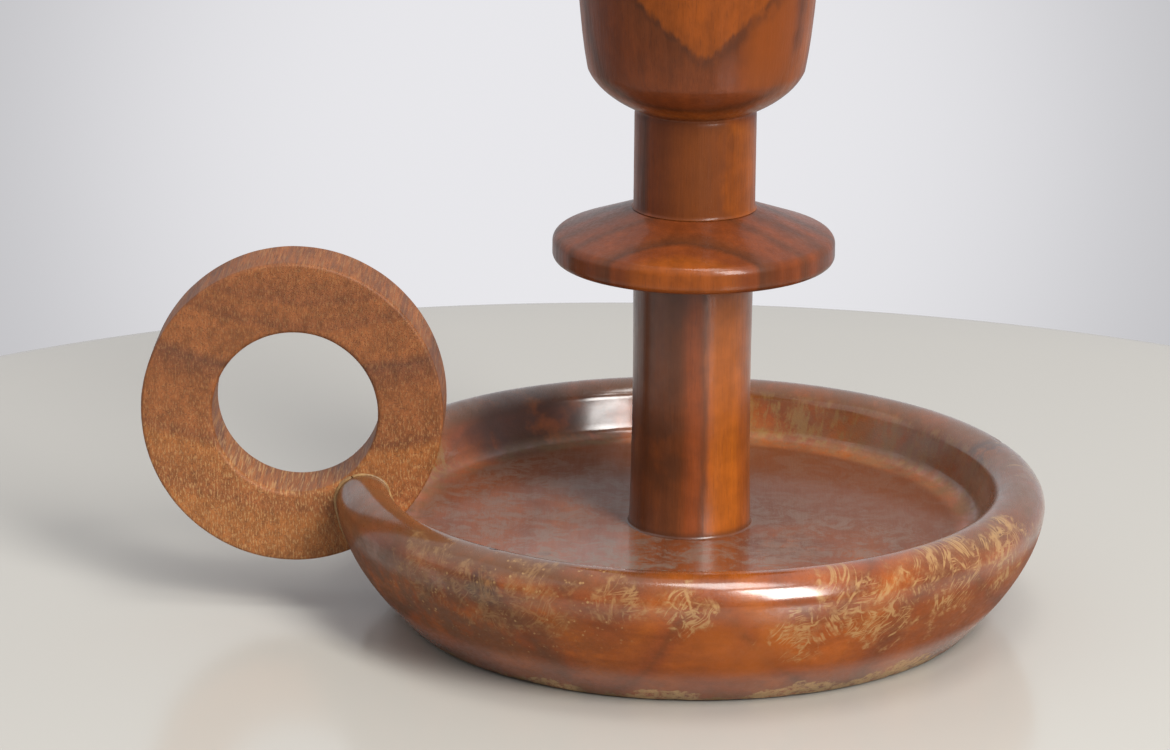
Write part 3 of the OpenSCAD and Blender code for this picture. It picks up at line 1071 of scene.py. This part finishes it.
# The room's light, as (direction, (cosine where it fades out, cosine where it is full, least, most)):
# the walls all round, a brighter patch behind the candlestick, and the ceiling
ROOM_LIGHT = [
    ((0.02, 0.97, 0.05), (-0.5, 0.85, 0.22, 0.57)),
    ((-0.022, 0.972, -0.235), (0.9914, 0.9999, 0, 0.26)),
    ((-0.4, 0, 0.9), (0.3, 1, 0, 0.14)),
]
ROOM_COLOUR = (0.97, 0.965, 1.0, 1)

# Area lights, as (name, watts, colour, size in metres, degrees to the right of the camera, degrees up)
LIGHTS = [
    ("window", 14.6, (1.0, 0.98, 0.95), (0.33, 0.80), 34, 35),
    ("window_top", 3.8, (1.0, 0.98, 0.95), (0.34, 0.50), 34, 76),
    ("fill", 0.9, (0.98, 0.99, 1.0), (0.9, 0.9), -75, 32),
]
LIGHT_DISTANCE = 1.1


def make_table():
    radius, thickness, edge = 236, 24, 11
    outline = [(0, -thickness)] + bend(radius - edge, -thickness + edge, edge, edge, 270, 360, 8)
    outline += bend(radius - edge, -edge, edge, edge, 0, 90, 12) + [(0, 0)]
    table = lathe("table_top", dense(outline, 20), 256)
    table.location = (-6 * MM, -18 * MM, 0)
    g = Graph("table_cream")
    table.data.materials.append(g.shade(Base_Color=TABLE, Roughness=0.17, Specular_IOR_Level=0.75))


def make_area_light(name, power, colour, size, azimuth, elevation):
    """A rectangular light aimed at the candlestick."""
    data = bpy.data.lights.new(name, "AREA")
    data.energy = power
    data.color = colour
    data.shape = "RECTANGLE"
    data.size, data.size_y = size
    light = bpy.data.objects.new(name, data)
    bpy.context.scene.collection.objects.link(light)
    a = math.radians(azimuth)
    e = math.radians(elevation)
    away = Vector((math.sin(a) * math.cos(e), -math.cos(a) * math.cos(e), math.sin(e)))
    light.location = Vector((0, 0, 0.04)) + away * LIGHT_DISTANCE
    light.rotation_mode = "QUATERNION"
    light.rotation_quaternion = (-away).to_track_quat("-Z", "Y")
    light.visible_camera = False


def room_level(tree, direction, aim, spread):
    """Light that grows as the direction nears aim."""
    facing = tree.nodes.new("ShaderNodeVectorMath")
    facing.operation = "DOT_PRODUCT"
    facing.inputs[1].default_value = Vector(aim).normalized()
    tree.links.new(direction, facing.inputs[0])
    level = tree.nodes.new("ShaderNodeMapRange")
    level.interpolation_type = "SMOOTHSTEP"
    tree.links.new(facing.outputs["Value"], level.inputs["Value"])
    for socket, value in zip(level.inputs[1:5], spread):
        socket.default_value = value
    return level.outputs[0]


def make_room():
    """A world that is the sum of the room's lights."""
    world = bpy.data.worlds.new("room")
    bpy.context.scene.world = world
    world.use_nodes = True
    tree = world.node_tree
    tree.nodes.clear()
    direction = tree.nodes.new("ShaderNodeTexCoord").outputs["Generated"]
    gather = tree.nodes.new("ShaderNodeCombineXYZ")
    for socket, (aim, spread) in zip(gather.inputs, ROOM_LIGHT):
        tree.links.new(room_level(tree, direction, aim, spread), socket)
    total = tree.nodes.new("ShaderNodeVectorMath")
    total.operation = "DOT_PRODUCT"
    total.inputs[1].default_value = (1, 1, 1)
    tree.links.new(gather.outputs[0], total.inputs[0])
    sky = tree.nodes.new("ShaderNodeBackground")
    sky.inputs["Color"].default_value = ROOM_COLOUR
    tree.links.new(total.outputs["Value"], sky.inputs["Strength"])
    out = tree.nodes.new("ShaderNodeOutputWorld")
    tree.links.new(sky.outputs[0], out.inputs[0])


bpy.context.scene.view_settings.view_transform = "Standard"
make_table()
make_room()
for light in LIGHTS:
    make_area_light(*light)
